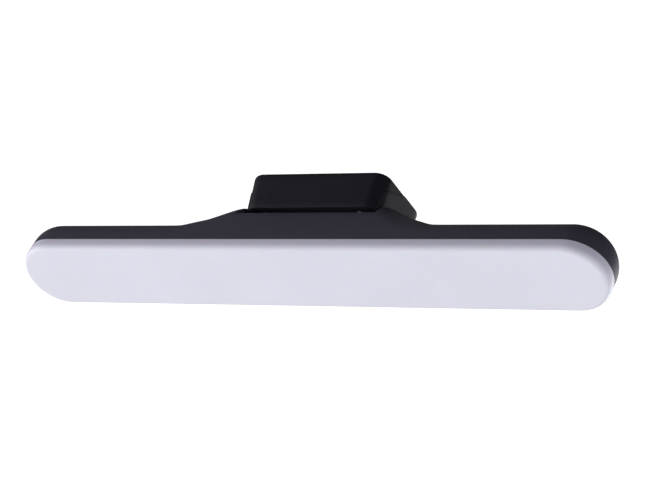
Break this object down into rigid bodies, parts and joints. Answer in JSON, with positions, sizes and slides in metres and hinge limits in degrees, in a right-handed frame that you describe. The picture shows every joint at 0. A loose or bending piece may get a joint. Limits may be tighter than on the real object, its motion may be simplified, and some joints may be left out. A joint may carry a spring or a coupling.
{
  "type": "magnetic light bar",
  "caption": "Long LED light bar with an opal diffuser and a black housing whose middle rises into a hump that holds a tilting magnetic mount block.",
  "frame": {"origin": "centre of the mount block's magnetic mount face, on the face of its grip pad", "axes": "+Z out of the mount face, X along the bar, -Y towards the side that the tilted bar lights"},
  "size_m": [0.31, 0.0463, 0.057],
  "materials": {
    "black_housing": "satin black moulded plastic with a fine spark texture",
    "black_shell": "satin black moulded plastic with a fine spark texture",
    "black_plate": "matt black glass-filled plastic",
    "end_cap": "satin black moulded plastic",
    "opal_diffuser": "opal white diffusing plastic, soft gloss",
    "grip_rubber": "soft dark grey silicone rubber",
    "magnet_plating": "nickel-plated",
    "yoke_steel": "zinc-plated sheet",
    "bush_brass": "turned",
    "pin_steel": "ground steel",
    "screw_steel": "nickel-plated",
    "white_tray": "matt white reflecting plastic",
    "led_board": "white solder mask on an aluminium core",
    "led_package": "yellow phosphor in a white frame",
    "cell_wrap": "laminated foil pouch",
    "foam_pad": "closed-cell foam tape",
    "red_wire": "silicone-sleeved wire",
    "white_wire": "silicone-sleeved wire",
    "green_board": "glass-epoxy board with green solder mask",
    "chip_black": "moulded epoxy",
    "socket_white": "nylon",
    "port_steel": "tin-plated steel shell",
    "plunger": "moulded plastic",
    "button": "satin black moulded plastic",
    "clear_lens": "clear moulded light guide"
  },
  "bodies": {
    "mount_block": {"base_shell": "black_shell", "base_plate": "black_plate", "base_screws": "screw_steel", "left_end_cap": "end_cap", "right_end_cap": "end_cap", "grip_pad": "grip_rubber", "magnets": "magnet_plating", "yoke_plate": "yoke_steel", "hinge_bushes": "bush_brass"},
    "light_bar": {"left_hinge_pin": "pin_steel", "right_hinge_pin": "pin_steel", "friction_washers": "pin_steel", "rear_housing": "black_housing", "diffuser": "opal_diffuser", "light_tray": "white_tray", "tray_screws": "screw_steel", "led_board": "led_board", "leds": "led_package", "battery_cell": "cell_wrap", "battery_pad": "foam_pad", "battery_leads": "red_wire", "led_leads": "white_wire", "control_board": "green_board", "board_screws": "screw_steel", "driver_parts": "chip_black", "battery_socket": "socket_white", "usb_port": "port_steel", "tact_switch": "chip_black", "status_lens": "clear_lens"},
    "button": {"power_button": "button", "switch_plunger": "plunger"}
  },
  "joints": [
    {"name": "bar_tilt", "type": "hinge", "parent": "mount_block", "child": "light_bar", "pos_m": [0, 0, -0.0197], "axis": [1, 0, 0], "range_deg": [-6.3, 39.7]},
    {"name": "power_button_press", "type": "slide", "parent": "light_bar", "child": "button", "axis": [0, -0.9578, 0.2874], "range_m": [0, 0.0006], "stiffness_N_per_m": 1500}
  ]
}
